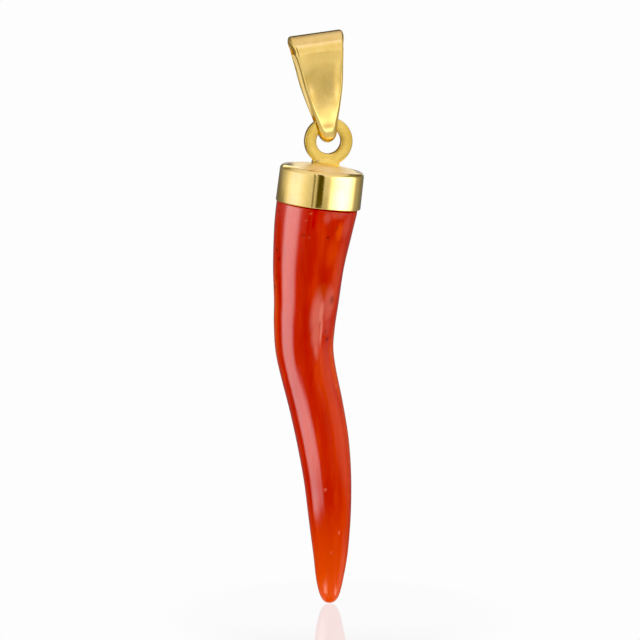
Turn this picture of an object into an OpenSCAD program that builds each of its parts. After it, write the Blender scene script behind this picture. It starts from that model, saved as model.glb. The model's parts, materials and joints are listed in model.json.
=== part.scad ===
// Chili pepper pendant: a carved coral horn under a gold cap, whose flat eyelet ring hangs on a tapered bail.
// The origin is the inner top of the bail, where a chain runs through along X. The front faces -Y.

/* [Bail] */
// Height of the bail over all, along its own axis
bail_h = 11.12; // [9:0.01:14]
// Half of the bail's greatest depth, front to back
bail_half_depth = 1.87; // [1.7:0.01:2.2]
// Half width of the strip where it folds over the chain
bail_half_width = 2.84; // [2.2:0.02:3.4]
// Thickness of the gold sheet of the bail
sheet_t = 0.3; // [0.2:0.02:0.34]
// Lean of the bail, its top to the left
bail_lean = 7.1; // [0:0.1:12]

/* [Eyelet] */
// Outer diameter of the flat ring
eye_d = 4.84; // [4.6:0.02:5.2]
// Diameter of the hole that the bail runs through
hole_d = 2.55; // [2.5:0.01:2.8]
// Thickness of the ring, front to back
eye_t = 0.95; // [0.8:0.05:1]
// Narrow chamfer along the ring's edges
eye_chamfer = 0.08; // [0.02:0.01:0.15]
// Height of the ring's middle above the bottom of the bail
eye_above_tip = 0.14; // [0.1:0.01:0.2]
// Height of the ring's middle above the edge of the cap's top
eye_rise = 2.7; // [2.6:0.05:3.2]
// Width of the foot that is soldered to the cap
foot_w = 2.8; // [2.4:0.1:3.4]
// Depth of the foot, front to back
foot_t = 1.3; // [1.1:0.05:1.8]
// Radius of the arched top of the foot
foot_arch_r = 2.1; // [1.8:0.05:3]
// Height of the arched top above the edge of the cap's top
foot_h = 0.98; // [0.8:0.02:1.2]

/* [Cap] */
// Outer diameter of the cap at its rim
cap_d = 8.58; // [8.54:0.02:9]
// Outer diameter of the cap just under its rounded top edge
cap_top_d = 8.5; // [8.4:0.02:8.54]
// Height of the cap at its edge
cap_h = 3.82; // [3:0.02:5]
// Height of the dome on the cap's top
cap_dome = 0.2; // [0.1:0.02:0.4]
// Radius of the cap's rounded top edge
cap_edge_r = 0.4; // [0.2:0.05:0.8]
// Thickness of the gold sheet of the cap
cap_wall = 0.3; // [0.2:0.02:0.4]
// How far the cap's axis lies to the left of the ring's middle
cap_offset = 0.25; // [0:0.01:0.5]

/* [Horn] */
// Length of the horn below the cap, along the cap's axis
horn_length = 40.5; // [30:0.01:50]
// Thickness of the horn where it meets the cap
horn_d = 8.24; // [8:0.02:8.4]
// Gap for the cement between the horn and the cap
cement_gap = 0.05; // [0.03:0.01:0.1]
// Lean of the horn, cap and eyelet, their top to the right
drop_lean = 7; // [0:0.1:12]

/* [Hidden] */
$fn = 64;

// Sections of the bail's front leaf, from the fold at the top to the bend at the bottom. The back mirrors it.
UP = 0;      // height of the outer face above the inner top of the fold
DEPTH = 1;   // distance of the outer face from the middle, as a share of bail_half_depth
WIDTH = 2;   // half width, as a share of bail_half_width
EDGE = 3;    // width of the turned edge
TURN = 4;    // how far the edge turns in
BAIL = [
    [  0.30, 0.00, 1.000, 0.34, 0.30],
    [  0.07, 0.45, 0.980, 0.34, 0.32],
    [ -0.55, 0.79, 0.930, 0.36, 0.34],
    [ -1.60, 0.94, 0.860, 0.38, 0.38],
    [ -3.10, 1.00, 0.755, 0.40, 0.40],
    [ -5.00, 0.95, 0.655, 0.40, 0.42],
    [ -7.00, 0.82, 0.505, 0.40, 0.44],
    [ -8.60, 0.69, 0.370, 0.44, 0.46],
    [ -9.60, 0.61, 0.320, 0.60, 0.50],
    [-10.41, 0.43, 0.305, 0.78, 0.75],
    [-10.75, 0.00, 0.298, 0.84, 0.90]
];
bail_steps = 3;                          // stations from one row to the next
edge_angles = [90, 67.5, 45, 22.5, 0];   // points round a turned edge

// Sections of the horn, from the cap down to the tip, for a horn of the size that the table gives
DOWN = 0;    // distance below the cap's rim
ACROSS = 1;  // distance of the middle to the right of the ring's middle
RADIUS = 2;
HORN = [
    [ 0.0, -0.33, 4.12],
    [ 2.4, -0.45, 3.95],
    [ 6.0, -0.48, 3.60],
    [ 9.6, -0.26, 3.28],
    [12.0, -0.16, 3.11],
    [14.4,  0.12, 2.94],
    [16.8,  0.82, 2.81],
    [20.4,  2.13, 2.72],
    [24.0,  3.28, 2.62],
    [27.6,  4.17, 2.41],
    [31.2,  4.82, 2.16],
    [34.8,  5.35, 1.79],
    [37.4,  5.60, 1.43],
    [39.1,  5.80, 1.07],
    [39.8,  5.88, 0.71],
    [40.12, 5.92, 0.00]
];
horn_steps = 3;      // stations from one row to the next
horn_sides = 32;     // flats round the horn

stretch = horn_length / HORN[len(HORN) - 1][DOWN];
swell = horn_d / 2 / HORN[0][RADIUS];
eye_z = sheet_t - bail_h + eye_above_tip;
neck_t = eye_t - 0.04;
neck_top = (hole_d + eye_chamfer) / 2 + 0.25;   // how far below the ring's middle the neck starts
rim_z = -eye_rise - cap_h;

// A smooth curve through rows a, b, c and d, between b and c
function blend(a, b, c, d, t) =
    0.5 * (2 * b + t * (c - a) + t * t * (2 * a - 5 * b + 4 * c - d) + t * t * t * (3 * b - a - 3 * c + d));

// Row n of a table, which runs on in a straight line past its ends
function row(rows, n) =
    n < 0 ? 2 * rows[0] - rows[1] :
    n > len(rows) - 1 ? 2 * rows[len(rows) - 1] - rows[len(rows) - 2] :
    rows[n];

function along(rows, s) =
    let (n = min(floor(s), len(rows) - 2))
    blend(row(rows, n - 1), row(rows, n), row(rows, n + 1), row(rows, n + 2), s - n);

function around(rows, s) =
    let (n = floor(s), count = len(rows))
    blend(rows[(n + count - 1) % count], rows[n % count], rows[(n + 1) % count], rows[(n + 2) % count], s - n);

// The two triangles between corners i and i + 1 of station s and those of the next one
function patch(s, next, i, j, count) = [
    [s * count + i, s * count + j, next * count + j],
    [s * count + i, next * count + j, next * count + i]
];

// The horn's spine and section at place s of its table, in the frame of the ring's middle
function spine(s) = let (r = along([for (r = HORN) [r[DOWN], r[ACROSS]]], s))
    [r[1], 0, rim_z - r[0] * stretch];
// The squared radius is what changes smoothly, which rounds the tip
function girth(s) = swell * sqrt(max(0, along([for (r = HORN) r[RADIUS] * r[RADIUS]], s)));
function horn_section(s, r) =
    let (step = spine(s + 0.02) - spine(s - 0.02), side = [step[2], 0, -step[0]] / -norm(step))
    [for (i = [0 : horn_sides - 1]) let (a = 360 * i / horn_sides)
        spine(s) + r * (cos(a) * side + sin(a) * [0, 1, 0])];

// The bail's whole loop of rows, with the depths in millimetres, front first
bail_loop = [
    for (r = BAIL) [r[UP], -r[DEPTH] * bail_half_depth, r[WIDTH] * bail_half_width, r[EDGE], r[TURN]],
    for (i = [len(BAIL) - 2 : -1 : 1]) let (r = BAIL[i])
        [r[UP], r[DEPTH] * bail_half_depth, r[WIDTH] * bail_half_width, r[EDGE], r[TURN]]
];
bail_stretch = (bail_h - sheet_t) / -BAIL[len(BAIL) - 1][UP];
function leaf(s) = let (r = around(bail_loop, s)) [0, r[DEPTH], r[UP] > 0 ? r[UP] : r[UP] * bail_stretch];

// One side of the strip's section, from its edge to its middle: [across, inwards], on the outer or inner face
function half_section(r, depth) = [
    for (a = edge_angles)
        let (w = r[EDGE], t = r[TURN], n = norm([t * sin(a), w * cos(a)]))
        [r[WIDTH] - w + w * sin(a) - depth * t * sin(a) / n, t * (1 - cos(a)) + depth * w * cos(a) / n]
];
function strip_section(r) =
    let (outer = half_section(r, 0), inner = half_section(r, sheet_t), last = len(edge_angles) - 1)
    concat(
        [for (p = outer) [-p[0], p[1]]],
        [for (i = [last : -1 : 0]) outer[i]],
        inner,
        [for (i = [last : -1 : 0]) [-inner[i][0], inner[i][1]]]
    );
function bail_section(s) =
    let (n = len(bail_loop), step = leaf(s + n + 0.02) - leaf(s + n - 0.02),
        inwards = [0, -step[2], step[1]] / norm(step))
    [for (p = strip_section(around(bail_loop, s))) leaf(s + n) + p[0] * [1, 0, 0] + p[1] * inwards];

module bail() {
    stations = len(bail_loop) * bail_steps;
    count = 4 * len(edge_angles);
    points = [for (k = [0 : stations - 1]) each bail_section(k / bail_steps)];
    faces = [for (k = [0 : stations - 1], i = [0 : count - 1])
        each patch(k, (k + 1) % stations, i, (i + 1) % count, count)];
    color("gold") rotate([0, -bail_lean, 0]) polyhedron(points, faces, convexity = 6);
}

// Places its children in the frame of the ring's middle, whose axis leans with the drop
module on_eye() {
    rotate([0, -bail_lean, 0]) translate([0, 0, eye_z]) rotate([0, bail_lean + drop_lean, 0]) children();
}

module cap_profile() {
    dome_half = cap_top_d / 2 - cap_edge_r;
    dome_r = (dome_half ^ 2 + cap_dome ^ 2) / (2 * cap_dome);
    difference() {
        union() {
            polygon([[0, 0], [cap_d / 2, 0], [cap_top_d / 2, cap_h - cap_edge_r], [0, cap_h - cap_edge_r]]);
            square([dome_half, cap_h]);
            translate([dome_half, cap_h - cap_edge_r]) circle(cap_edge_r);
            intersection() {
                translate([0, cap_h + cap_dome - dome_r]) circle(dome_r, $fn = 360);
                square([dome_half, cap_h + cap_dome]);
            }
        }
        translate([-1, -1]) square([1 + cap_top_d / 2 - cap_wall, 1 + cap_h - cap_wall]);
        translate([-1, -cap_h]) square([1, 3 * cap_h]);
    }
}

module eye_profile() {
    inner = hole_d / 2;
    outer = eye_d / 2;
    half = eye_t / 2;
    polygon([
        [inner, -half + eye_chamfer], [inner + eye_chamfer, -half],
        [outer - eye_chamfer, -half], [outer, -half + eye_chamfer],
        [outer, half - eye_chamfer], [outer - eye_chamfer, half],
        [inner + eye_chamfer, half], [inner, half - eye_chamfer]
    ]);
}

module foot() {
    sunk = cap_wall / 2;
    intersection() {
        translate([0, 0, -eye_rise + foot_h - foot_arch_r]) rotate([90, 0, 0])
            cylinder(r = foot_arch_r, h = foot_t, center = true);
        translate([-foot_w / 2, -foot_t / 2, -eye_rise - sunk]) cube([foot_w, foot_t, foot_h + 2 * sunk]);
    }
    // The plate's own neck, which runs straight down from within the ring
    translate([-foot_w / 2, -neck_t / 2, -eye_rise - sunk])
        cube([foot_w, neck_t, eye_rise + sunk - neck_top]);
}

module cap_and_eye() {
    color("goldenrod") on_eye() {
        translate([-cap_offset, 0, rim_z]) rotate_extrude() cap_profile();
        rotate([90, 0, 0]) rotate_extrude() eye_profile();
        foot();
    }
}

module horn() {
    peg_r = cap_top_d / 2 - cap_wall - cement_gap;
    peg_top = -eye_rise - cap_wall - cement_gap;
    stations = (len(HORN) - 1) * horn_steps;
    // The peg stands upright in the cap, and the shoulder under the rim is level with it
    peg = [for (z = [peg_top, rim_z - cement_gap], i = [0 : horn_sides - 1])
        let (a = 360 * i / horn_sides) [peg_r * cos(a) - cap_offset, peg_r * sin(a), z]];
    shoulder = [for (i = [0 : horn_sides - 1]) let (a = 360 * i / horn_sides)
        [HORN[0][ACROSS] + horn_d / 2 * cos(a), horn_d / 2 * sin(a), rim_z - cement_gap]];
    body = [for (k = [1 : stations - 1]) each horn_section(k / horn_steps, girth(k / horn_steps))];
    points = concat(peg, shoulder, body, [spine(len(HORN) - 1)]);
    rings = stations + 2;
    tip = rings * horn_sides;
    faces = concat(
        [[for (i = [horn_sides - 1 : -1 : 0]) i]],
        [for (k = [0 : rings - 2], i = [0 : horn_sides - 1])
            each patch(k, k + 1, i, (i + 1) % horn_sides, horn_sides)],
        [for (i = [0 : horn_sides - 1]) [tip - horn_sides + i, tip - horn_sides + (i + 1) % horn_sides, tip]]
    );
    color("firebrick") on_eye() polyhedron(points, faces, convexity = 4);
}

bail();
cap_and_eye();
horn();
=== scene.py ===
"""A chili pepper pendant: a carved coral horn in a gold cap, whose eyelet ring hangs on a gold bail."""

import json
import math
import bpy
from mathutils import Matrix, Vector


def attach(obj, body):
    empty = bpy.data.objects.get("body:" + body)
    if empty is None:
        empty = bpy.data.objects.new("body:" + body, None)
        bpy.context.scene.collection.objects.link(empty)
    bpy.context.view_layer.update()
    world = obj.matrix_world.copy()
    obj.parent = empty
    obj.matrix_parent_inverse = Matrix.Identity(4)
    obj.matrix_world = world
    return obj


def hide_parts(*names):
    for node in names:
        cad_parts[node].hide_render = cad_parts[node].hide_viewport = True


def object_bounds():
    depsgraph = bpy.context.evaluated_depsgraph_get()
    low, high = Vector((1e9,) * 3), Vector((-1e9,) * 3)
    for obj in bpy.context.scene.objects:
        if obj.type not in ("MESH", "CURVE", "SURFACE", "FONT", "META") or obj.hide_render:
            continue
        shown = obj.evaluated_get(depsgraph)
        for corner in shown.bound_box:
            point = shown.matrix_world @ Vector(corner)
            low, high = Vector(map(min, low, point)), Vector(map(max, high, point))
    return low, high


bl_info = {
    "name": "Chili Pepper Pendant",
    "version": (1, 0, 0),
    "blender": (4, 5, 0),
    "location": "View3D > Sidebar > Pendant",
    "description": "Builds a coral horn pendant with its gold cap, eyelet and bail, and a small studio",
    "category": "Object",
}

from collections import namedtuple

import bmesh
import bpy
from mathutils import Matrix, Vector, noise

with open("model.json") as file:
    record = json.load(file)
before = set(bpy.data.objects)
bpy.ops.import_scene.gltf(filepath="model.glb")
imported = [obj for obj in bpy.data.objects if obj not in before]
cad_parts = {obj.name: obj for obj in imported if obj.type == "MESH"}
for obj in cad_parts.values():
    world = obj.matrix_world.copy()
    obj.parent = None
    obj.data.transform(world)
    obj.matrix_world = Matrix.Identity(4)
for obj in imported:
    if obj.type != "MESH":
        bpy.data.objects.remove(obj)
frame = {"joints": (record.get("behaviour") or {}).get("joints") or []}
CAD_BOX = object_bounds()

MM = 0.001
FULL_TURN = 2 * math.pi
LEFT, FRONT, UP = Vector((-1, 0, 0)), Vector((0, -1, 0)), Vector((0, 0, 1))

# The drop turns about the middle of its eyelet ring, so the frame's joint gives that point.
EYE = Vector(frame["joints"][0]["pos_m"])

# Sections of the horn, from the cap down to the tip, in millimetres
HORN_COLUMNS = ("down", "across", "radius")
HORN_SECTIONS = (
    (0.0, -0.33, 4.12),
    (2.4, -0.45, 3.95),
    (6.0, -0.48, 3.60),
    (9.6, -0.26, 3.28),
    (12.0, -0.16, 3.11),
    (14.4, 0.12, 2.94),
    (16.8, 0.82, 2.81),
    (20.4, 2.13, 2.72),
    (24.0, 3.28, 2.62),
    (27.6, 4.17, 2.41),
    (31.2, 4.82, 2.16),
    (34.8, 5.35, 1.79),
    (37.4, 5.60, 1.43),
    (39.1, 5.80, 1.04),
    (39.8, 5.88, 0.67),
    (40.12, 5.92, 0.00),
)
DOWN, ACROSS, RADIUS = range(len(HORN_COLUMNS))

# Marks in the coral: how far below the cap, degrees round from the front, width, length and depth in mm,
# and how much each shows as a dark pit, as a pale tint, or as an orange tint. The dented pits and the tiny
# specks are the coral's own. The pale patches on the front right are painted highlights, and the long orange
# streaks are painted rim light at the sides and a painted reflection band on the front right.
MARK_COLUMNS = ("down", "round", "width", "length", "depth", "pit", "pale", "orange")
MARKS = (
    (2.7, 13, 0.34, 0.34, 0.05, 0.7, 0.0, 0.0),
    (2.8, -24, 0.32, 0.36, 0.03, 0.5, 0.0, 0.0),
    (1.2, -76, 0.30, 0.30, 0.03, 0.5, 0.0, 0.0),
    (4.8, -74, 0.34, 0.44, 0.05, 0.8, 0.0, 0.0),
    (5.6, -66, 0.30, 0.34, 0.04, 0.6, 0.0, 0.0),
    (7.3, -73, 0.30, 0.60, 0.04, 0.6, 0.0, 0.0),
    (8.3, -83, 0.40, 0.50, 0.04, 0.7, 0.0, 0.0),
    (13.3, 42, 0.36, 0.46, 0.06, 0.8, 0.0, 0.0),
    (12.4, 35, 0.26, 0.40, 0.04, 0.6, 0.0, 0.0),
    (12.9, 68, 0.24, 0.50, 0.02, 0.5, 0.0, 0.0),
    (9.2, 41, 0.80, 0.90, 0.01, 0.45, 0.1, 0.0),
    (1.7, 24, 0.50, 0.40, 0.00, 0.3, 0.0, 0.2),
    (2.1, 31, 0.90, 2.10, 0.00, 0.0, 0.0, 0.7),
    (4.2, 27, 1.60, 3.20, 0.00, 0.0, 0.0, 0.35),
    (8.2, 18, 1.40, 1.40, 0.00, 0.2, 0.0, 0.4),
    # Painted highlight: the pale patches in this row and the next three, near the top on the right.
    (0.7, 7, 0.80, 1.20, 0.00, 0.0, 0.22, 0.0),
    (0.3, 22, 2.00, 0.90, 0.00, 0.0, 0.20, 0.0),
    (1.4, 44, 1.30, 2.80, 0.00, 0.0, 0.15, 0.1),
    (6.2, 46, 1.60, 6.60, 0.00, 0.0, 0.06, 0.3),
    # Painted highlight: the pale patches in this row and the next six paint a bright wedge of reflected
    # light on the front right.
    (10.6, 11, 1.30, 4.40, 0.00, 0.0, 0.50, 0.0),
    (12.6, 13, 1.00, 3.00, 0.00, 0.0, 0.50, 0.0),
    (13.9, 14, 0.55, 2.60, 0.00, 0.0, 0.45, 0.0),
    (10.4, 19, 0.60, 2.60, 0.00, 0.0, 0.75, 0.0),
    (12.2, 23, 0.32, 3.40, 0.00, 0.0, 0.80, 0.0),
    (9.6, 34, 1.50, 3.60, 0.00, 0.0, 0.35, 0.0),
    (11.6, 36, 1.20, 2.40, 0.00, 0.0, 0.15, 0.0),
    (0.6, -17, 0.16, 0.16, 0.00, 0.0, 0.6, 0.0),
    (1.4, -22, 0.20, 0.10, 0.00, 0.0, 0.6, 0.0),
    (3.0, -14, 0.16, 0.16, 0.00, 0.0, 0.6, 0.0),
    (8.8, 15, 0.20, 0.14, 0.00, 0.0, 0.3, 1.0),
    # Painted rim light: an orange streak along the left edge, and in the next two rows along the right edge.
    (10.5, -82, 1.40, 9.00, 0.00, 0.0, 0.0, 0.6),
    (16.5, 68, 2.20, 9.00, 0.00, 0.0, 0.0, 0.7),
    (23.0, 68, 1.60, 9.00, 0.00, 0.0, 0.0, 0.5),
    # Painted reflection: these three orange streaks paint a band of reflected light down the right front.
    (18.5, 26, 1.60, 9.00, 0.00, 0.0, 0.0, 0.3),
    (23.0, 36, 1.90, 9.00, 0.00, 0.0, 0.0, 0.3),
    (28.2, 44, 1.80, 9.00, 0.00, 0.0, 0.0, 0.3),
    (18.5, 53, 0.26, 0.50, 0.00, 0.0, 0.2, 1.0),
    (28.1, -17, 0.22, 0.26, 0.00, 0.0, 0.7, 0.3),
    (32.6, 17, 0.20, 0.40, 0.00, 0.0, 0.4, 0.6),
    (34.6, -8, 0.26, 0.16, 0.00, 0.0, 0.3, 0.6),
)

# Sections of the bail's front leaf from the fold down to the bend, in millimetres. The back mirrors it.
# The outer side turns in at its edges over the width edge and the depth turn, the inner side rounds off over
# lip, thick is the distance between the two sides, and dish is how far the middle lies below the edges.
BAIL_COLUMNS = ("height", "depth", "half_width", "edge", "turn", "lip", "thick", "dish")
BAIL_SECTIONS = (
    (0.30, 0.00, 2.84, 0.32, 0.62, 0.20, 0.30, 0.00),
    (0.07, 0.84, 2.78, 0.32, 0.66, 0.20, 0.30, 0.00),
    (-0.55, 1.48, 2.64, 0.32, 0.66, 0.20, 0.30, 0.00),
    (-1.30, 1.70, 2.50, 0.32, 0.60, 0.22, 0.32, 0.00),
    (-1.75, 1.80, 2.42, 0.32, 0.36, 0.40, 0.42, 0.07),
    (-3.10, 1.88, 2.18, 0.36, 0.22, 0.50, 0.46, 0.13),
    (-5.00, 1.80, 1.91, 0.36, 0.22, 0.50, 0.46, 0.15),
    (-7.00, 1.55, 1.48, 0.36, 0.24, 0.46, 0.42, 0.09),
    (-8.60, 1.29, 1.10, 0.42, 0.34, 0.38, 0.32, 0.02),
    (-9.60, 1.14, 0.92, 0.60, 0.46, 0.50, 0.30, 0.00),
    (-10.41, 0.81, 0.87, 0.78, 0.75, 0.60, 0.30, 0.00),
    (-10.75, 0.00, 0.85, 0.84, 0.90, 0.62, 0.30, 0.00),
)
HEIGHT, DEPTH, HALF_WIDTH, EDGE, TURN, LIP, THICK, DISH = range(len(BAIL_COLUMNS))

# The light tent round the pendant: how bright its wall is at some heights in millimetres, each by degrees
# round from the front
WALLS = (
    (-290, ((-180, 0.70), (180, 0.70))),
    (-135, ((-180, 0.25), (-110, 0.25), (-60, 0.45), (-30, 0.60), (0, 0.46), (25, 0.62), (60, 0.42),
            (100, 0.42), (125, 0.20), (180, 0.20))),
    (-85, ((-180, 0.20), (-112, 0.25), (-90, 0.6), (-60, 0.7), (-40, 0.65), (-20, 0.62), (-2, 0.52),
           (10, 0.54), (24, 0.74), (45, 0.60), (60, 0.50), (95, 0.50), (112, 0.42), (128, 0.25),
           (150, 0.20), (180, 0.20))),
    (-40, ((-180, 0.20), (-150, 0.20), (-122, 0.30), (-104, 0.9), (-70, 1.12), (-54, 1.0), (-40, 0.78),
           (-20, 0.64), (0, 0.66), (8, 0.74), (18, 0.62), (60, 0.50), (95, 0.50), (112, 0.42), (128, 0.25),
           (150, 0.20), (180, 0.20))),
    (-15, ((-180, 0.20), (-145, 0.32), (-122, 0.65), (-104, 1.1), (-70, 1.15), (-54, 1.0), (-40, 0.78),
           (-20, 0.64), (-5, 0.74), (3, 0.78), (25, 0.78), (60, 0.70), (95, 0.60), (112, 0.45), (130, 0.30),
           (150, 0.20), (180, 0.20))),
    (50, ((-180, 0.12), (-130, 0.30), (-100, 0.75), (-60, 0.90), (50, 0.92), (80, 0.45), (130, 0.15),
          (180, 0.12))),
)

# Its windows, in degrees round from the front and millimetres up, with the width of their soft edges.
# The seam and the slit are dark, and the others let light in.
Window = namedtuple("Window", "name brightness left right side_blur bottom top end_blur")
WINDOWS = tuple(Window(*row) for row in (
    ("back_window", 0.60, 150, 169, 3, 40, 105, 20),
    ("floor_window", 1.0, 150, 181, 3, 2, 14, 4),
    ("seam", 0.2, -28.6, -26.4, 2, -80, 190, 6),
    ("slit", 0.10, -16, -4, 5, -80, 190, 6),
))

# Cards that light only the pieces they name: degrees round, then millimetres away and up to their middle,
# their width and height, the shares of these that fade at sides and ends, their brightness and their colour.
# A card hides a farther card that lights another piece, so the cards of different pieces stand side by side.
Card = namedtuple("Card", "name pieces round away up width height side_fade end_fade brightness tint")
CARDS = tuple(Card(*row) for row in (
    ("cap_card", "gold_cap", 57, 180, -33, 400, 176, 0.5, 0.25, 3.0, "#FFFFFF"),
    ("cap_left_card", "gold_cap", -80, 180, -12, 200, 120, 0.4, 0.3, 0.55, "#6080FF"),
    ("cap_back_card", "gold_cap", 180, 200, 110, 300, 170, 0.3, 0.3, 1.2, "#FFFFFF"),
    ("high_card", "gold_bail gold_eyelet", 4, 200, 200, 260, 320, 0.25, 0.4, 0.6, "#93AAFF"),
    ("eyelet_card", "gold_eyelet", 10, 130, -26, 38, 44, 0.3, 0.3, 0.32, "#FFFFFF"),
    ("bail_card", "gold_bail", 12, 120, -64, 90, 48, 0.4, 0.4, 1.3, "#FFFFFF"),
    ("bail_middle_card", "gold_bail", 34, 120, -38, 52, 50, 0.4, 0.4, 0.9, "#FFFFFF"),
    ("bail_slit_card", "gold_bail", -8, 250, -45, 88, 140, 0.22, 0.2, 0.7, "#FFFFFF"),
    ("bail_left_card", "gold_bail", -34, 120, -44, 70, 96, 0.3, 0.2, 0.35, "#FFFFFF"),
    ("bail_right_card", "gold_bail", 130, 180, -20, 160, 120, 0.3, 0.3, 0.6, "#FFFFFF"),
    ("coral_left_card", "coral_horn", -78, 50, -38.2, 60, 60.4, 0.28, 0.03, 3.8, "#FFFFFF"),
    ("coral_left_low_card", "coral_horn", -46, 50, -60.75, 30, 13.5, 0.4, 0.3, 3.6, "#FFFFFF"),
    ("coral_right_card", "coral_horn", 72, 270, -60, 260, 110, 0.08, 0.2, 0.35, "#FFFFFF"),
    ("coral_low_card", "coral_horn", 86, 250, -165, 200, 90, 0.1, 0.3, 0.35, "#FFFFFF"),
    ("tip_left_card", "coral_horn", -56, 255, -258, 290, 120, 0.4, 0.3, 4.2, "#FFE8CC"),
    ("tip_right_card", "coral_horn", 64, 255, -256, 280, 90, 0.4, 0.3, 3.8, "#FFE8CC"),
))

# Most values of a noise texture lie between these two.
NOISE_LOW, NOISE_HIGH = 0.3, 0.7


def linear(hex_colour):
    """A colour written as sRGB hex, in the linear values that the nodes need."""
    parts = [int(hex_colour[i:i + 2], 16) / 255 for i in (1, 3, 5)]
    return [c / 12.92 if c <= 0.04045 else ((c + 0.055) / 1.055) ** 2.4 for c in parts] + [1.0]


def node(tree, kind, inputs=None, stops=None, **settings):
    """Adds a node with its settings. An input is a value, or another node's output to link.

    The stops are a colour ramp's places and colours.
    """
    made = tree.nodes.new(kind)
    for name, value in settings.items():
        setattr(made, name, value)
    if stops:
        ramp = made.color_ramp
        while len(ramp.elements) < len(stops):
            ramp.elements.new(0.5)
        for element, (place, colour) in zip(ramp.elements, stops):
            element.position = place
            element.color = linear(colour) if isinstance(colour, str) else colour
    for name, value in (inputs or {}).items():
        if isinstance(value, bpy.types.NodeSocket):
            tree.links.new(value, made.inputs[name])
        else:
            made.inputs[name].default_value = value
    return made


def speckle(tree, place, size_mm, detail, roughness=0.5):
    """A noise texture whose features are size_mm wide on object coordinates."""
    return node(tree, "ShaderNodeTexNoise", {
        "Vector": place, "Scale": 1 / (size_mm * MM), "Detail": detail, "Roughness": roughness,
    }).outputs["Fac"]


def bump(tree, height, depth_mm, **inputs):
    """The normal of a surface that rises and falls by depth_mm."""
    return node(tree, "ShaderNodeBump", {
        "Height": height, "Distance": depth_mm * MM, "Strength": 1.0, **inputs,
    }).outputs["Normal"]


def spread(tree, value, low, high, start=0.0, end=1.0, **settings):
    """Runs from start to end while the value runs from low to high."""
    return node(tree, "ShaderNodeMapRange", {
        "Value": value, "From Min": low, "From Max": high, "To Min": start, "To Max": end,
    }, **settings).outputs["Result"]


def times(tree, first, second):
    return node(tree, "ShaderNodeMath", {0: first, 1: second}, operation="MULTIPLY").outputs[0]


def mixed(tree, share, first, second):
    """A colour between two colours."""
    return node(tree, "ShaderNodeMix", {0: share, 6: first, 7: second}, data_type="RGBA").outputs[2]


def new_material(name):
    material = bpy.data.materials.new(name)
    material.use_nodes = True
    material.node_tree.nodes.clear()
    return material, material.node_tree


def finish_material(tree, shader):
    node(tree, "ShaderNodeOutputMaterial", {"Surface": shader.outputs[0]})


def gold(name, pale, deep, roughness, ripple_mm, ripple_height_mm, grain_mm, grain_height_mm):
    """18 carat yellow gold, a little deeper in patches, with the faint ripple and grain of hand polishing.

    It is satin instead of polished where the piece's own attribute says so, and paler there: painted light
    that lifts the deep orange of gold reflecting gold.
    """
    patch_mm, patch_low, patch_high = 1.6, 0.32, 0.62
    # The paler satin tint is painted light: it lifts the deep orange where gold reflects gold.
    satin_painted_light_tint, satin_roughness = "#FFEAB4", 0.42
    material, tree = new_material(name)
    place = node(tree, "ShaderNodeTexCoord").outputs["Object"]
    patches = speckle(tree, place, patch_mm, 3.0, 0.6)
    tint = node(tree, "ShaderNodeValToRGB", {"Fac": patches}, stops=((patch_low, deep), (patch_high, pale)))
    ripple = speckle(tree, place, ripple_mm, 1.0)
    grain = speckle(tree, place, grain_mm, 4.0, 0.6)
    rough = spread(tree, grain, NOISE_LOW, NOISE_HIGH, roughness * 0.8, roughness * 1.3)
    satin_and_painted_light = node(tree, "ShaderNodeAttribute", attribute_name="satin_and_painted_light").outputs["Fac"]
    worn = node(tree, "ShaderNodeMath", {0: satin_and_painted_light, 1: satin_roughness, 2: rough}, operation="MULTIPLY_ADD")
    shader = node(tree, "ShaderNodeBsdfPrincipled", {
        "Base Color": mixed(tree, satin_and_painted_light, tint.outputs["Color"], linear(satin_painted_light_tint)),
        "Metallic": 1.0,
        "Roughness": worn.outputs["Value"],
        "Normal": bump(tree, grain, grain_height_mm, Normal=bump(tree, ripple, ripple_height_mm)),
    })
    finish_material(tree, shader)
    return material


def coral(name, look):
    """Red coral, carved, tumbled and polished: glassy, a little translucent, streaked along its growth."""
    streak_mm, cloud_mm, grain_mm, grain_height_mm = 1.1, 6.0, 0.5, 0.004
    growth = (1.0, 1.0, 0.12)
    tip_start, tip_end = -47.5 * MM, -58 * MM
    material, tree = new_material(name)
    place = node(tree, "ShaderNodeTexCoord").outputs["Object"]
    stretched = node(tree, "ShaderNodeMapping", {"Vector": place, "Scale": growth}).outputs["Vector"]
    body = node(tree, "ShaderNodeValToRGB", {"Fac": speckle(tree, stretched, streak_mm, 5.0, 0.6)},
                stops=((0.30, look.deep), (0.55, look.body), (0.75, look.bright)))
    warm = spread(tree, speckle(tree, place, cloud_mm, 2.0), 0.45, 0.75, 0.0, 0.35)
    colour = mixed(tree, warm, body.outputs["Color"], linear(look.bright))
    height = node(tree, "ShaderNodeSeparateXYZ", {"Vector": place}).outputs["Z"]
    colour = mixed(tree, spread(tree, height, tip_start, tip_end), colour, linear(look.tip))
    # The pale and orange marks paint highlights, a reflection band and rim light, as well as the coral's own
    # specks. The pits are the coral's own.
    for mark, tint in (("orange", look.tip), ("pale", look.pale), ("pit", look.pit)):
        amount = node(tree, "ShaderNodeAttribute", attribute_name=mark).outputs["Fac"]
        colour = mixed(tree, amount, colour, linear(tint))
    grain = speckle(tree, stretched, grain_mm, 4.0)
    shader = node(tree, "ShaderNodeBsdfPrincipled", {
        "Base Color": colour,
        "Roughness": spread(tree, grain, NOISE_LOW, NOISE_HIGH, 0.10, 0.17),
        "IOR": 1.55,
        "Subsurface Weight": 0.35,
        "Subsurface Radius": (1.0, 0.25, 0.08),
        "Subsurface Scale": 0.8 * MM,
        "Normal": bump(tree, grain, grain_height_mm),
    })
    finish_material(tree, shader)
    return material


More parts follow.
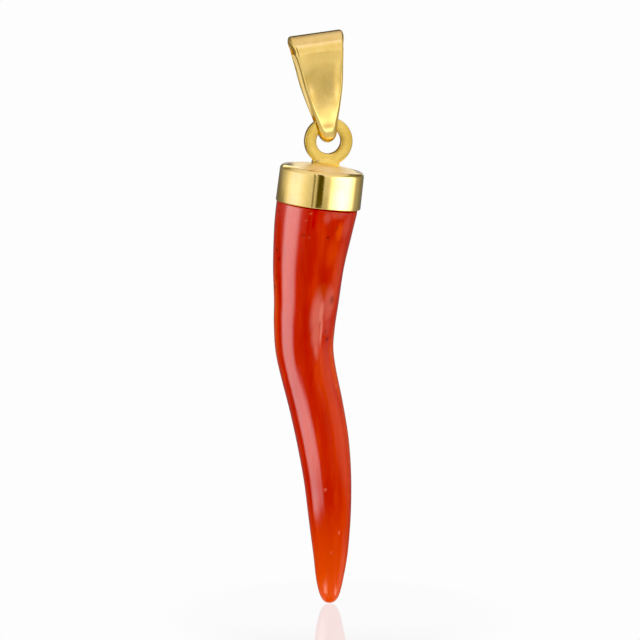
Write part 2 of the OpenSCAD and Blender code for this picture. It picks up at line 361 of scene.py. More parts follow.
def blend(a, b, c, d, t):
    """A smooth curve through four rows, between the middle two."""
    a, b, c, d = (Vector(row) for row in (a, b, c, d))
    curved = t ** 2 * (2 * a - 5 * b + 4 * c - d) + t ** 3 * (3 * b - a - 3 * c + d)
    return 0.5 * (2 * b + t * (c - a) + curved)


def along(rows, s):
    """The row at place s of a table, which runs on in a straight line past its ends."""
    n = max(0, min(int(s), len(rows) - 2))
    before = rows[n - 1] if n else 2 * Vector(rows[0]) - Vector(rows[1])
    after = rows[n + 2] if n + 2 < len(rows) else 2 * Vector(rows[-1]) - Vector(rows[-2])
    return blend(before, rows[n], rows[n + 1], after, s - n)


def around(rows, s):
    """The row at place s of a table that runs round in a loop."""
    n, count = math.floor(s), len(rows)
    return blend(*(rows[(n + i) % count] for i in (-1, 0, 1, 2)), s - n)


def clamp(value):
    return max(0.0, min(1.0, value))


def new_object(name, bm, material):
    """Turns a finished bmesh into an object of the scene."""
    mesh = bpy.data.meshes.new(name)
    bm.to_mesh(mesh)
    bm.free()
    mesh.materials.append(material)
    made = bpy.data.objects.new(name, mesh)
    bpy.context.scene.collection.objects.link(made)
    return made


def new_piece(name, bm, body, cad_node, material):
    """Turns a finished bmesh into a piece that rides on a body and stands for a CAD node."""
    for face in bm.faces:
        face.smooth = True
    piece = new_object(name, bm, material)
    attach(piece, body)
    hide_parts(cad_node)
    for card in CARDS:
        if name in card.pieces.split():
            bpy.data.collections[card.name].objects.link(piece)
    return piece


def verts_of(made):
    """The vertices among what a bmesh operator made."""
    return [v for v in made["geom"] if isinstance(v, bmesh.types.BMVert)]


def thicken(bm, depth):
    """Makes a solid plate of flat faces at its front."""
    made = bmesh.ops.extrude_face_region(bm, geom=bm.faces[:])
    bmesh.ops.translate(bm, verts=verts_of(made), vec=-FRONT * depth)
    bmesh.ops.recalc_face_normals(bm, faces=bm.faces)


def slice_at(bm, point, away, clear):
    """Cuts all faces along a plane, and clears away what lies beyond it if asked."""
    bmesh.ops.bisect_plane(bm, geom=bm.verts[:] + bm.edges[:] + bm.faces[:], plane_co=point, plane_no=away,
                           clear_outer=clear)


def round_edges(bm, edges, width_mm, segments):
    """Bevels some edges, as filing and polishing round them."""
    bmesh.ops.bevel(bm, geom=edges, offset=width_mm * MM, offset_type="OFFSET", affect="EDGES",
                    segments=segments, profile=0.5, material=-1, clamp_overlap=True)


def sharp_edges(bm, least_degrees=40):
    """The edges whose faces meet at a clear angle."""
    least = math.radians(least_degrees)
    return [e for e in bm.edges if len(e.link_faces) == 2 and e.calc_face_angle(0) > least]


def drop_frame(sizes):
    """The frame of the eyelet's middle, whose upright leans with the drop."""
    return Matrix.Translation(EYE) @ Matrix.Rotation(math.radians(sizes.drop_lean), 4, "Y")


class HornSettings(bpy.types.PropertyGroup):
    drop_lean: bpy.props.FloatProperty(
        name="Lean", description="Lean of the drop, its top to the right, in degrees", default=7.0)
    rim_down: bpy.props.FloatProperty(
        name="Rim", description="Depth of the cap's rim below the eyelet's middle",
        default=6.52 * MM, unit="LENGTH")
    length: bpy.props.FloatProperty(
        name="Length", description="Length of the horn below the cap", default=40.5 * MM, unit="LENGTH")
    peg_radius: bpy.props.FloatProperty(
        name="Peg radius", description="Radius of the hidden end in the cap",
        default=3.9 * MM, unit="LENGTH")
    peg_left: bpy.props.FloatProperty(
        name="Peg left", description="Distance of the peg to the left of the eyelet",
        default=0.25 * MM, unit="LENGTH")
    peg_top: bpy.props.FloatProperty(
        name="Peg top", description="Depth of the peg's top below the eyelet's middle",
        default=3.05 * MM, unit="LENGTH")
    sides: bpy.props.IntProperty(name="Sides", description="Flats round the horn", default=144)
    spacing: bpy.props.FloatProperty(
        name="Spacing", description="Distance between two stations of the horn",
        default=0.16 * MM, unit="LENGTH")
    wave: bpy.props.FloatProperty(
        name="Wave", description="Height of the carver's faint waves on the surface",
        default=0.012 * MM, unit="LENGTH")
    deep: bpy.props.StringProperty(
        name="Deep red", description="Colour of the darkest streaks", default="#BE1A00")
    body: bpy.props.StringProperty(
        name="Body red", description="Colour of most of the coral", default="#CC2500")
    bright: bpy.props.StringProperty(
        name="Bright red", description="Colour of the palest streaks", default="#DA3A00")
    # The tip colour also paints the orange marks, among them painted rim light and a painted reflection
    # band.
    tip: bpy.props.StringProperty(name="Tip", description="Colour of the orange tip", default="#F05600")
    # The pale colour paints the coral's own specks and also painted highlights.
    pale: bpy.props.StringProperty(
        name="Pale", description="Colour of the pale patches", default="#F0907A")
    pit: bpy.props.StringProperty(name="Pit", description="Colour in the small pits", default="#6A1000")


class CapSettings(bpy.types.PropertyGroup):
    drop_lean: bpy.props.FloatProperty(
        name="Lean", description="Lean of the drop, its top to the right, in degrees", default=7.0)
    offset: bpy.props.FloatProperty(
        name="Offset", description="Distance of the cap's axis to the left of the ring",
        default=0.25 * MM, unit="LENGTH")
    top_down: bpy.props.FloatProperty(
        name="Top", description="Depth of the cap's edge below the eyelet's middle",
        default=2.74 * MM, unit="LENGTH")
    height: bpy.props.FloatProperty(
        name="Height", description="Height of the cap", default=3.78 * MM, unit="LENGTH")
    dome: bpy.props.FloatProperty(
        name="Dome", description="Height of the dome on the cap's top", default=0.35 * MM, unit="LENGTH")
    rim_radius: bpy.props.FloatProperty(
        name="Rim radius", description="Outer radius at the rim", default=4.29 * MM, unit="LENGTH")
    top_radius: bpy.props.FloatProperty(
        name="Top radius", description="Outer radius under the rounded top edge",
        default=4.25 * MM, unit="LENGTH")
    edge_radius: bpy.props.FloatProperty(
        name="Edge", description="Radius of the rounded top edge", default=0.5 * MM, unit="LENGTH")
    wall: bpy.props.FloatProperty(
        name="Wall", description="Thickness of the sheet", default=0.3 * MM, unit="LENGTH")
    sides: bpy.props.IntProperty(name="Sides", description="Flats round the cap", default=160)


class EyeSettings(bpy.types.PropertyGroup):
    drop_lean: bpy.props.FloatProperty(
        name="Lean", description="Lean of the drop, its top to the right, in degrees", default=7.0)
    outer_radius: bpy.props.FloatProperty(
        name="Outer radius", description="Outer radius of the ring", default=2.42 * MM, unit="LENGTH")
    hole_radius: bpy.props.FloatProperty(
        name="Hole radius", description="Radius of the hole", default=1.275 * MM, unit="LENGTH")
    thickness: bpy.props.FloatProperty(
        name="Thickness", description="Thickness of the ring, front to back",
        default=0.95 * MM, unit="LENGTH")
    foot_half: bpy.props.FloatProperty(
        name="Foot half width", description="Half of the foot's width", default=1.32 * MM, unit="LENGTH")
    foot_depth: bpy.props.FloatProperty(
        name="Foot depth", description="Depth of the soldered foot, front to back",
        default=1.4 * MM, unit="LENGTH")
    slope: bpy.props.FloatProperty(
        name="Slope", description="Width of the sloping band along the foot's arch",
        default=0.45 * MM, unit="LENGTH")
    slope_share: bpy.props.FloatProperty(
        name="Slope share", description="How much thinner the foot is at its arch", default=0.3)
    tuck_height: bpy.props.FloatProperty(
        name="Tuck", description="Height on the foot where it starts to draw in below",
        default=0.46 * MM, unit="LENGTH")
    tuck_share: bpy.props.FloatProperty(
        name="Tuck share", description="How much thinner the foot is at its lower end", default=0.46)
    arch_radius: bpy.props.FloatProperty(
        name="Arch radius", description="Radius of the foot's arched top",
        default=2.1 * MM, unit="LENGTH")
    arch_height: bpy.props.FloatProperty(
        name="Arch height", description="Height of the arch above the cap",
        default=0.98 * MM, unit="LENGTH")
    cap_down: bpy.props.FloatProperty(
        name="Cap", description="Depth of the cap's top below the ring's middle",
        default=2.7 * MM, unit="LENGTH")
    sides: bpy.props.IntProperty(name="Sides", description="Flats round the ring", default=128)


class BailSettings(bpy.types.PropertyGroup):
    lean: bpy.props.FloatProperty(
        name="Lean", description="Lean of the bail, its top to the left, in degrees", default=7.1)
    height: bpy.props.FloatProperty(
        name="Height", description="Height of the bail", default=11.12 * MM, unit="LENGTH")
    sheet: bpy.props.FloatProperty(
        name="Sheet", description="Thickness of the sheet", default=0.3 * MM, unit="LENGTH")
    columns: bpy.props.IntProperty(
        name="Columns", description="Faces round the strip's section", default=64)
    rows: bpy.props.IntProperty(
        name="Rows", description="Faces from one section to the next", default=8)


class StageSettings(bpy.types.PropertyGroup):
    camera_round: bpy.props.FloatProperty(
        name="Camera round", description="Camera's angle round from the front", default=-10.0)
    camera_up: bpy.props.FloatProperty(
        name="Camera up", description="Camera's angle above level", default=8.8)
    distance: bpy.props.FloatProperty(
        name="Distance", description="Distance of the camera from the pendant",
        default=0.468, unit="LENGTH")
    view_width: bpy.props.FloatProperty(
        name="View width", description="Width of the view at the pendant",
        default=64.2 * MM, unit="LENGTH")
    target: bpy.props.FloatVectorProperty(
        name="Target", description="Point in the middle of the view",
        default=(-0.048 * MM, -3.013 * MM, -28.298 * MM), unit="LENGTH")
    floor_gap: bpy.props.FloatProperty(
        name="Floor gap", description="Gap between the tip and the floor",
        default=0.03 * MM, unit="LENGTH")
    floor_radius: bpy.props.FloatProperty(
        name="Floor radius", description="Radius of the pale floor", default=30.0, unit="LENGTH")
    world: bpy.props.FloatProperty(
        name="World", description="Brightness of the room round the tent", default=0.96)
    fill: bpy.props.FloatProperty(
        name="Fill", description="Brightness of the room as matt surfaces get it", default=1.1)
    tent_radius: bpy.props.FloatProperty(
        name="Tent", description="Radius of the light tent", default=0.3, unit="LENGTH")
    tent_depth: bpy.props.FloatProperty(
        name="Tent depth", description="How far the tent reaches down", default=0.6, unit="LENGTH")
    tent_top: bpy.props.FloatProperty(
        name="Tent top", description="How far the tent reaches up", default=0.25, unit="LENGTH")
    white: bpy.props.FloatProperty(
        name="White", description="Brightness of the floor and the backdrop", default=0.985)
    gloss: bpy.props.FloatProperty(
        name="Gloss", description="How strongly the floor mirrors", default=0.25)
    black: bpy.props.FloatProperty(
        name="Black", description="Light level that shows as black", default=0.03)


def spine(s, sizes):
    """The middle of the horn at place s of its table, in the frame of the eyelet's middle."""
    row = along([(r[DOWN], r[ACROSS]) for r in HORN_SECTIONS], s)
    return Vector((row[1] * MM, 0, -sizes.rim_down - row[0] * sizes.length / HORN_SECTIONS[-1][DOWN]))


def girth(s):
    """The radius at place s. The squared radius is what changes smoothly, which rounds the tip."""
    return math.sqrt(max(0.0, along([(r[RADIUS] ** 2, 0) for r in HORN_SECTIONS], s)[0])) * MM


def horn_station(s, sizes):
    """A matrix whose Z runs up the spine and whose X points to the right."""
    step = 0.02
    up = (spine(s - step, sizes) - spine(s + step, sizes)).normalized()
    side = Vector((up.z, 0, -up.x))
    turned = Matrix((side, -FRONT, up)).transposed().to_4x4()
    return Matrix.Translation(spine(s, sizes)) @ turned


def build_horn(sizes):
    """Rings on a curved spine, bridged from the peg in the cap to the tip, with the marks pressed in."""
    peg_chamfer, shoulder_chamfer, cement = 0.1 * MM, 0.06 * MM, 0.05 * MM
    wave_size, least_steps = 3.5 * MM, 3
    first_across, first_radius = HORN_SECTIONS[0][ACROSS] * MM, HORN_SECTIONS[0][RADIUS] * MM
    bm = bmesh.new()
    layers = [bm.verts.layers.float.new(name) for name in MARK_COLUMNS[5:]]
    world = drop_frame(sizes)
    rings = []

    def ring(place, radius):
        made = bmesh.ops.create_circle(bm, cap_ends=False, segments=sizes.sides, radius=radius,
                                       matrix=world @ place)
        rings.append(made["verts"])
        return made["verts"]

    rim = -sizes.rim_down - cement
    for across, height, radius in (
        (-sizes.peg_left, -sizes.peg_top, sizes.peg_radius - peg_chamfer),
        (-sizes.peg_left, -sizes.peg_top - peg_chamfer, sizes.peg_radius),
        (-sizes.peg_left, rim, sizes.peg_radius),
        (first_across, rim, first_radius - shoulder_chamfer),
    ):
        ring(Matrix.Translation((across, 0, height)), radius)
    last = len(HORN_SECTIONS) - 1
    places = []
    for n in range(last):
        length = (spine(n + 1, sizes) - spine(n, sizes)).length
        steps = max(least_steps, round(length / sizes.spacing))
        places += [n + k / steps for k in range(steps)]
    for s in places[1:]:
        place = horn_station(s, sizes)
        station = world @ place
        back = station.inverted()
        down = along([(r[DOWN], 0) for r in HORN_SECTIONS], s)[0]
        radius = girth(s)
        for vert in ring(place, radius):
            local = back @ vert.co
            angle = math.atan2(local.x, -local.y)
            push = sizes.wave * noise.noise(vert.co / wave_size)
            for mark_down, mark_round, width, length, depth, *amounts in MARKS:
                across = (angle - math.radians(mark_round)) * radius / MM
                share = math.exp(-((2 * across / width) ** 2 + (2 * (down - mark_down) / length) ** 2) ** 2)
                push -= share * depth * MM
                for layer, amount in zip(layers, amounts):
                    vert[layer] = max(vert[layer], share * amount)
            vert.co += (vert.co - station.translation).normalized() * push
    for first, second in zip(rings, rings[1:]):
        upper, both = set(first), set(first) | set(second)
        open_edges = dict.fromkeys(e for v in first + second for e in v.link_edges if len(e.link_faces) < 2)
        pair = [e for e in open_edges if e.verts[0] in both and e.verts[1] in both
                and (e.verts[0] in upper) == (e.verts[1] in upper)]
        bmesh.ops.bridge_loops(bm, edges=pair)
    end = bmesh.ops.extrude_edge_only(
        bm, edges=[e for e in bm.edges if e.is_boundary and e.verts[0] in rings[-1]])
    bmesh.ops.pointmerge(bm, verts=verts_of(end), merge_co=world @ spine(last, sizes))
    bmesh.ops.holes_fill(bm, edges=[e for e in bm.edges if e.is_boundary])
    bmesh.ops.recalc_face_normals(bm, faces=bm.faces)
    return bm


def build_cap(sizes):
    """A lathe shape: the profile of the dome, edge, rim and hollow, spun about the cap's axis."""
    lip, rim_height, hollow_corner = 0.12 * MM, 0.3 * MM, 0.15 * MM
    dome_steps, edge_steps, lip_steps = 12, 10, 6
    # The top is satin down to a height on its rounded edge, and polished again towards both sides.
    # This satin part is also painted paler: painted light against the orange reflection of the gold foot.
    satin_and_painted_depth, satin_and_painted_fade = sizes.edge_radius * 0.134, sizes.edge_radius * 0.1
    satin_and_painted_reach, satin_and_painted_side_fade = 3.4 * MM, 0.8 * MM
    bm = bmesh.new()
    top, rim = -sizes.top_down, -sizes.top_down - sizes.height
    edge, wall = sizes.edge_radius, sizes.wall
    half = sizes.top_radius - edge
    ball = (half ** 2 + sizes.dome ** 2) / (2 * sizes.dome)
    start = math.asin(half / (ball - edge))
    centre = top - edge - (ball - edge) * math.cos(start)
    dome = [(ball * math.sin(a), centre + ball * math.cos(a))
            for a in (start * k / dome_steps for k in range(dome_steps))]
    arc = [(half + edge * math.sin(a), top - edge + edge * math.cos(a))
           for a in (start + (math.pi / 2 - start) * k / edge_steps for k in range(edge_steps + 1))]
    lip_arc = [(sizes.rim_radius - lip + lip * math.cos(a), rim + lip - lip * math.sin(a))
               for a in (math.radians(90 * k / lip_steps) for k in range(lip_steps + 1))]
    inner = [
        (sizes.rim_radius - wall, rim),
        (sizes.rim_radius - wall, rim + rim_height),
        (sizes.top_radius - wall, top - wall - hollow_corner),
        (sizes.top_radius - wall - hollow_corner, top - wall),
        (0.0, top - wall),
    ]
    verts = [bm.verts.new((r, 0, z)) for r, z in dome + arc + lip_arc + inner]
    edges = [bm.edges.new(pair) for pair in zip(verts, verts[1:])]
    bmesh.ops.spin(bm, geom=verts + edges, cent=(0, 0, 0), axis=UP, angle=FULL_TURN, steps=sizes.sides,
                   use_merge=True, use_duplicate=False)
    bmesh.ops.remove_doubles(bm, verts=bm.verts, dist=1e-6)
    bmesh.ops.recalc_face_normals(bm, faces=bm.faces)
    satin_and_painted_light = bm.verts.layers.float.new("satin_and_painted_light")
    for vert in bm.verts:
        risen = clamp((vert.co.z - top + satin_and_painted_depth) / satin_and_painted_fade)
        vert[satin_and_painted_light] = risen * clamp((satin_and_painted_reach - abs(vert.co.x)) / satin_and_painted_side_fade)
    bm.transform(drop_frame(sizes) @ Matrix.Translation((-sizes.offset, 0, 0)))
    return bm


def build_eye(sizes):
    """A flat ring whose outline runs straight down into the cap, with an arched pad round its foot."""
    bm = bmesh.new()
    upright = Matrix.Rotation(math.radians(90), 4, "X")
    sunk, pad_margin = 0.1 * MM, 0.04 * MM
    foot_down = sizes.cap_down + sunk
    for radius in (sizes.outer_radius, sizes.hole_radius):
        bmesh.ops.create_circle(bm, segments=sizes.sides, radius=radius, matrix=upright)
    shoulder = math.sqrt(sizes.outer_radius ** 2 - sizes.foot_half ** 2)
    low = [v for v in bm.verts if v.co.z < -shoulder]
    reach = max(abs(v.co.x) for v in low)
    for vert in low:
        vert.co.x *= sizes.foot_half / reach
        vert.co.z = -foot_down
    bmesh.ops.bridge_loops(bm, edges=bm.edges[:])
    bmesh.ops.translate(bm, verts=bm.verts, vec=FRONT * sizes.thickness / 2)
    thicken(bm, sizes.thickness)
    between = (sizes.hole_radius + sizes.outer_radius) / 2
    for in_hole, rounding_mm, steps in ((True, 0.14, 4), (False, 0.26, 5)):
        edges = [e for e in sharp_edges(bm)
                 if (math.hypot(e.verts[0].co.x, e.verts[0].co.z) < between) == in_hole]
        round_edges(bm, edges, rounding_mm, steps)

    pad = bmesh.new()
    pad_half, pad_rounding_mm = sizes.foot_half + pad_margin, 0.06
    arch_mid = -sizes.cap_down + sizes.arch_height - sizes.arch_radius
    bmesh.ops.create_circle(pad, cap_ends=True, segments=sizes.sides, radius=sizes.arch_radius,
                            matrix=Matrix.Translation((0, -sizes.foot_depth / 2, arch_mid)) @ upright)
    slice_at(pad, (pad_half, 0, 0), -LEFT, clear=True)
    slice_at(pad, (-pad_half, 0, 0), LEFT, clear=True)
    slice_at(pad, (0, 0, -foot_down), -UP, clear=True)
    thicken(pad, sizes.foot_depth)
    slope_top, tuck_top = arch_mid + sizes.arch_radius - sizes.slope, sizes.tuck_height - sizes.cap_down
    slice_at(pad, (0, 0, slope_top), UP, clear=False)
    slice_at(pad, (0, 0, tuck_top), UP, clear=False)
    round_edges(pad, sharp_edges(pad), pad_rounding_mm, 2)
    for vert in pad.verts:
        under_arch = sizes.arch_radius - math.hypot(vert.co.x, vert.co.z - arch_mid)
        if under_arch < sizes.slope:
            vert.co.y *= 1 - sizes.slope_share * (1 - max(0.0, under_arch) / sizes.slope)
        tucked = max(0.0, tuck_top - vert.co.z) / (tuck_top + foot_down)
        vert.co.y *= 1 - sizes.tuck_share * tucked
    mesh = bpy.data.meshes.new("pad")
    pad.to_mesh(mesh)
    pad.free()
    bm.from_mesh(mesh)
    bpy.data.meshes.remove(mesh)
    bm.transform(drop_frame(sizes))
    return bm


def bail_loop():
    """The sections of the whole loop: the front leaf down, and the back leaf up again."""
    front = [Vector(r) for r in BAIL_SECTIONS]
    for row in front:
        row[DEPTH] *= -1
    return front + [Vector(r) for r in BAIL_SECTIONS[-2:0:-1]]


def strip_section(row, u):
    """A point of the strip's section at place u of its outline: the distance across and the depth inwards.

    u runs from 0 to 1 round the section: the outer side from left to right, and the inner side back again.
    """
    outer = u < 0.5
    side = 4 * u - 1 if outer else 3 - 4 * u
    edge = row[EDGE] if outer else row[LIP]
    least_flat = 0.001
    flat = max(row[HALF_WIDTH] - edge, least_flat)
    angle = max(0.0, abs(side) - 0.5) * math.pi
    across = flat * min(1.0, 2 * abs(side)) + edge * math.sin(angle)
    middle = 0.0 if outer else row[THICK]
    inset = middle + (row[TURN] - middle) * (1 - math.cos(angle))
    inset += row[DISH] * (1 - min(1.0, across / (row[HALF_WIDTH] - row[EDGE] / 2)) ** 2)
    return math.copysign(across, side), inset


def build_bail(sizes):
    """The section of a tapered strip, swept round the bail's loop. Its inner side is duller, and painted
    paler: painted light that lifts the shade between the leaves.
    """
    inner_from, inner_to, inner_satin_and_painted_light = 0.55, 0.95, 0.25
    step = 0.02
    bm = bmesh.new()
    loop = bail_loop()
    count = len(loop)
    stretch = (sizes.height - sizes.sheet) / MM / -BAIL_SECTIONS[-1][HEIGHT]
    bmesh.ops.create_grid(bm, x_segments=sizes.columns, y_segments=count * sizes.rows, size=0.5)
    satin_and_painted_light = bm.verts.layers.float.new("satin_and_painted_light")

    def leaf(s):
        row = around(loop, s)
        return Vector((0, row[DEPTH], row[HEIGHT] * (stretch if row[HEIGHT] < 0 else 1)))

    for vert in bm.verts:
        s = (vert.co.y + 0.5) * count
        u = (vert.co.x + 0.5) % 1.0
        onwards = (leaf(s + step) - leaf(s - step)).normalized()
        inwards = Vector((0, -onwards.z, onwards.y))
        across, inset = strip_section(around(loop, s), u)
        # Painted light: the inner side is also painted paler, which lifts the shade between the leaves.
        vert[satin_and_painted_light] = inner_satin_and_painted_light if inner_from < u < inner_to else 0.0
        vert.co = (leaf(s) + inwards * inset + Vector((across, 0, 0))) * MM
    bmesh.ops.remove_doubles(bm, verts=bm.verts, dist=1e-6)
    bmesh.ops.recalc_face_normals(bm, faces=bm.faces)
    bm.transform(Matrix.Rotation(math.radians(-sizes.lean), 4, "Y"))
    return bm


class PENDANT_OT_stage(bpy.types.Operator):
    """Makes the camera, the pale floor and the soft studio light"""
    bl_idname = "pendant.stage"
    bl_label = "Studio"

    def execute(self, context):
        sizes = context.scene.pendant_stage
        self.make_camera(context.scene, sizes)
        self.make_floor(sizes)
        self.make_tent(sizes)
        for card in CARDS:
            self.make_card(card)
        self.make_room(context.scene, sizes)
        tone = context.scene.view_settings
        tone.view_transform = "Standard"
        tone.use_curve_mapping = True
        tone.curve_mapping.black_level = [sizes.black] * 3
        tone.curve_mapping.update()
        return {"FINISHED"}

    def make_camera(self, scene, sizes):
        turn, lift = math.radians(sizes.camera_round), math.radians(sizes.camera_up)
        back = Vector((math.sin(turn) * math.cos(lift), -math.cos(turn) * math.cos(lift), math.sin(lift)))
        camera = bpy.data.objects.new("camera", bpy.data.cameras.new("camera"))
        scene.collection.objects.link(camera)
        camera.data.lens = camera.data.sensor_width * sizes.distance / sizes.view_width
        camera.data.clip_start = 0.01
        camera.data.clip_end = 100
        camera.location = Vector(sizes.target) + back * sizes.distance
        camera.rotation_euler = back.to_track_quat("Z", "Y").to_euler()
        scene.camera = camera

    def make_floor(self, sizes):
        """A white acrylic sheet, cast glossy and lit from below, which mirrors only near the tip."""
        spot_x, spot_y, spot_start, spot_end = 1.5 * MM, -6 * MM, 12 * MM, 20 * MM
        level = CAD_BOX[0].z - sizes.floor_gap
        material, tree = new_material("white_acrylic")
        matt = node(tree, "ShaderNodeEmission", {"Color": linear("#FFFFFF"), "Strength": sizes.white})
        gloss = node(tree, "ShaderNodeBsdfGlossy", {"Color": linear("#FFFFFF"), "Roughness": 0.08})
        far = node(tree, "ShaderNodeVectorMath", {
            0: node(tree, "ShaderNodeTexCoord").outputs["Object"], 1: Vector((spot_x, spot_y, level)),
        }, operation="DISTANCE").outputs["Value"]
        share = spread(tree, far, spot_start, spot_end, sizes.gloss, 0.0, interpolation_type="SMOOTHSTEP")
        finish_material(tree, node(tree, "ShaderNodeMixShader", {
            0: share, 1: matt.outputs[0], 2: gloss.outputs[0],
        }))
        bm = bmesh.new()
        bmesh.ops.create_circle(bm, cap_ends=True, segments=64, radius=sizes.floor_radius,
                                matrix=Matrix.Translation((0, 0, level)))
        floor = new_object("floor", bm, material)
        floor.visible_glossy = floor.visible_diffuse = False

    def make_room(self, scene, sizes):
        """White to the camera, evenly bright to matt surfaces, dimmer behind and below in reflections."""
        behind_start, behind_end, behind_level = 0.2, 0.75, 0.55
        below_start, below_end, below_share = -0.3, -0.9, 0.35
        world = bpy.data.worlds.new("room")
        world.use_nodes = True
        world.node_tree.nodes.clear()
        tree = world.node_tree

        def shine(colour, strength):
            made = node(tree, "ShaderNodeBackground", {"Color": linear(colour), "Strength": strength})
            return made.outputs[0]

        outwards = node(tree, "ShaderNodeTexCoord").outputs["Generated"]
        part = node(tree, "ShaderNodeSeparateXYZ", {"Vector": outwards})
        behind = spread(tree, part.outputs["Y"], behind_start, behind_end, sizes.world, behind_level)
        below = spread(tree, part.outputs["Z"], below_start, below_end, 1.0, below_share)
        path = node(tree, "ShaderNodeLightPath")
        lit = node(tree, "ShaderNodeMixShader", {
            0: path.outputs["Is Diffuse Ray"],
            1: shine("#F0EDFF", times(tree, behind, below)),
            2: shine("#FFFFFF", sizes.fill),
        })
        room = node(tree, "ShaderNodeMixShader", {
            0: path.outputs["Is Camera Ray"], 1: lit.outputs[0], 2: shine("#FFFFFF", sizes.white),
        })
        node(tree, "ShaderNodeOutputWorld", {"Surface": room.outputs[0]})
        scene.world = world

    def reflector(self, name, bm, shader_of):
        """A lit sheet of cloth that only shows in reflections."""
        material, tree = new_material(name)
        finish_material(tree, shader_of(tree))
        sheet = new_object(name, bm, material)
        sheet.visible_camera = sheet.visible_diffuse = sheet.visible_transmission = False
        sheet.visible_volume_scatter = sheet.visible_shadow = False
        return sheet

    def window(self, tree, value, low, high, blur):
        """1 between low and high, falling softly to 0 outside them."""
        rise = spread(tree, value, low - blur, low, interpolation_type="SMOOTHSTEP")
        fall = spread(tree, value, high + blur, high, interpolation_type="SMOOTHSTEP")
        return times(tree, rise, fall)

    def make_tent(self, sizes):
        """The white cloth round the pendant, brighter where lamps stand behind it."""
        ramp_scale = 2.0
        bm = bmesh.new()
        bmesh.ops.create_circle(bm, cap_ends=False, segments=96, radius=sizes.tent_radius,
                                matrix=Matrix.Translation((0, 0, -sizes.tent_depth)))
        wall = bmesh.ops.extrude_edge_only(bm, edges=bm.edges[:])
        bmesh.ops.translate(bm, verts=verts_of(wall), vec=UP * (sizes.tent_depth + sizes.tent_top))

        def cloth(tree):
            place = node(tree, "ShaderNodeTexCoord").outputs["Object"]
            part = node(tree, "ShaderNodeSeparateXYZ", {"Vector": place})
            front = times(tree, part.outputs["Y"], -1.0)
            angle = node(tree, "ShaderNodeMath", {0: part.outputs["X"], 1: front}, operation="ARCTAN2")
            degrees = node(tree, "ShaderNodeMath", {0: angle.outputs[0]}, operation="DEGREES").outputs[0]
            height = times(tree, part.outputs["Z"], 1 / MM)
            turn = spread(tree, degrees, -180.0, 180.0)
            total, last = None, None
            for up, levels in WALLS:
                stops = [(at / 360 + 0.5, [level / ramp_scale] * 3 + [1]) for at, level in levels]
                band = node(tree, "ShaderNodeValToRGB", {"Fac": turn}, stops=stops)
                bright = times(tree, band.outputs["Color"], ramp_scale)
                if total is None:
                    total = bright
                else:
                    rise = spread(tree, height, last, up, interpolation_type="SMOOTHSTEP")
                    total = node(tree, "ShaderNodeMix", {0: rise, 2: total, 3: bright}).outputs[0]
                last = up
            for pane in WINDOWS:
                across = self.window(tree, degrees, pane.left, pane.right, pane.side_blur)
                up = self.window(tree, height, pane.bottom, pane.top, pane.end_blur)
                total = node(tree, "ShaderNodeMix", {
                    0: times(tree, across, up), 2: total, 3: pane.brightness,
                }, label=pane.name).outputs[0]
            return node(tree, "ShaderNodeEmission", {"Strength": total})

        self.reflector("light_tent", bm, cloth)

    def make_card(self, card):
        """A soft card in the tent, whose light falls on the pieces it names."""
        angle = math.radians(card.round)
        away = Vector((math.sin(angle), -math.cos(angle), 0))
        bm = bmesh.new()
        bm.loops.layers.uv.new("UVMap")
        bmesh.ops.create_grid(bm, x_segments=1, y_segments=1, size=1, calc_uvs=True)
        bm.transform(Matrix.Translation((away * card.away + UP * card.up) * MM)
                     @ away.to_track_quat("Z", "Y").to_matrix().to_4x4()
                     @ Matrix.Diagonal((card.width * MM / 2, card.height * MM / 2, 1, 1)))

        def glow(tree):
            place = node(tree, "ShaderNodeUVMap", uv_map="UVMap").outputs["UV"]
            part = node(tree, "ShaderNodeSeparateXYZ", {"Vector": place})
            across = self.window(tree, part.outputs["X"], card.side_fade, 1 - card.side_fade, card.side_fade)
            up = self.window(tree, part.outputs["Y"], card.end_fade, 1 - card.end_fade, card.end_fade)
            strength = times(tree, times(tree, across, up), card.brightness)
            light = node(tree, "ShaderNodeEmission", {"Color": linear(card.tint), "Strength": strength})
            clear = node(tree, "ShaderNodeBsdfTransparent")
            return node(tree, "ShaderNodeAddShader", {0: light.outputs[0], 1: clear.outputs[0]})

        sheet = self.reflector(card.name, bm, glow)
        sheet.light_linking.receiver_collection = bpy.data.collections.new(card.name)


class PENDANT_OT_horn(bpy.types.Operator):
    """Carves the coral horn"""
    bl_idname = "pendant.horn"
    bl_label = "Coral horn"

    def execute(self, context):
        sizes = context.scene.pendant_horn
        finish = coral("polished_red_coral", sizes)
        new_piece("coral_horn", build_horn(sizes), "drop", "horn", finish)
        return {"FINISHED"}


class PENDANT_OT_cap(bpy.types.Operator):
    """Raises the gold cap over the horn's top"""
    bl_idname = "pendant.cap"
    bl_label = "Gold cap"

    def execute(self, context):
        sizes = context.scene.pendant_cap
        # Drawn gold sheet, turned and buffed on a wheel
        finish = gold("polished_cap_gold", "#FFDF90", "#FAD784", roughness=0.09,
                      ripple_mm=2.5, ripple_height_mm=0.004, grain_mm=0.18, grain_height_mm=0.0022)
        new_piece("gold_cap", build_cap(sizes), "drop", "cap_and_eye", finish)
        return {"FINISHED"}


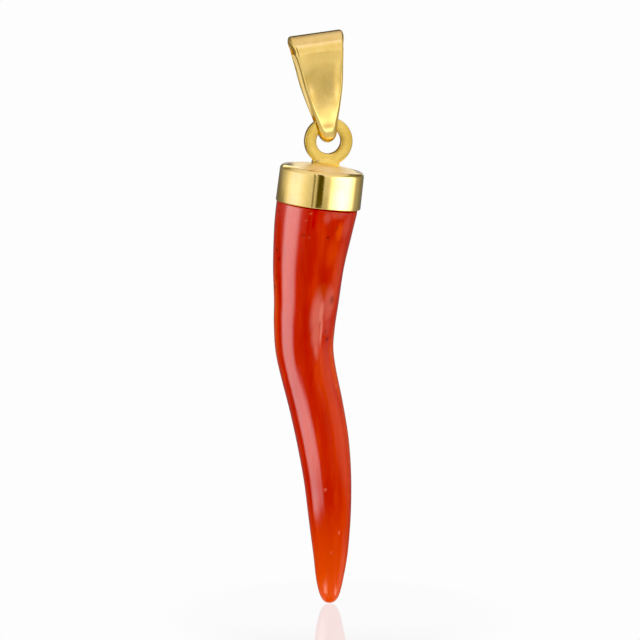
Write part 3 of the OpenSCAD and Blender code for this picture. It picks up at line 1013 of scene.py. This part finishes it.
class PENDANT_OT_eye(bpy.types.Operator):
    """Cuts the flat eyelet ring with its foot"""
    bl_idname = "pendant.eye"
    bl_label = "Eyelet"

    def execute(self, context):
        sizes = context.scene.pendant_eye
        # Gold plate, sawn out, soldered and only brushed
        finish = gold("satin_eyelet_gold", "#FFDA78", "#F6CE6A", roughness=0.22,
                      ripple_mm=0.9, ripple_height_mm=0.003, grain_mm=0.18, grain_height_mm=0.0010)
        new_piece("gold_eyelet", build_eye(sizes), "drop", "cap_and_eye", finish)
        return {"FINISHED"}


class PENDANT_OT_bail(bpy.types.Operator):
    """Folds the tapered bail"""
    bl_idname = "pendant.bail"
    bl_label = "Bail"

    def execute(self, context):
        sizes = context.scene.pendant_bail
        # Rolled gold strip, pressed, folded and polished by hand, with ripples from the folding
        finish = gold("polished_bail_gold", "#FFDD8A", "#F6CF78", roughness=0.12,
                      ripple_mm=1.6, ripple_height_mm=0.004, grain_mm=0.3, grain_height_mm=0.0008)
        piece = new_piece("gold_bail", build_bail(sizes), "bail", "bail", finish)
        soft = piece.modifiers.new("smooth", "SUBSURF")
        soft.levels = soft.render_levels = 1
        return {"FINISHED"}


class PENDANT_PT_panel(bpy.types.Panel):
    """Lists the pieces of the pendant"""
    bl_idname = "PENDANT_PT_panel"
    bl_label = "Chili Pepper Pendant"
    bl_space_type = "VIEW_3D"
    bl_region_type = "UI"
    bl_category = "Pendant"

    def draw(self, context):
        for operator in OPERATORS:
            self.layout.operator(operator.bl_idname)


OPERATORS = (PENDANT_OT_stage, PENDANT_OT_bail, PENDANT_OT_eye, PENDANT_OT_cap, PENDANT_OT_horn)
SETTINGS = {
    "pendant_horn": HornSettings,
    "pendant_cap": CapSettings,
    "pendant_eye": EyeSettings,
    "pendant_bail": BailSettings,
    "pendant_stage": StageSettings,
}


def register():
    for kind in (*SETTINGS.values(), *OPERATORS, PENDANT_PT_panel):
        bpy.utils.register_class(kind)
    for name, kind in SETTINGS.items():
        setattr(bpy.types.Scene, name, bpy.props.PointerProperty(type=kind))


def unregister():
    for name in SETTINGS:
        delattr(bpy.types.Scene, name)
    for kind in (PENDANT_PT_panel, *reversed(OPERATORS), *reversed(SETTINGS.values())):
        bpy.utils.unregister_class(kind)


def main():
    register()
    bpy.ops.pendant.stage()
    bpy.ops.pendant.bail()
    bpy.ops.pendant.eye()
    bpy.ops.pendant.cap()
    bpy.ops.pendant.horn()


if __name__ == "__main__":
    main()
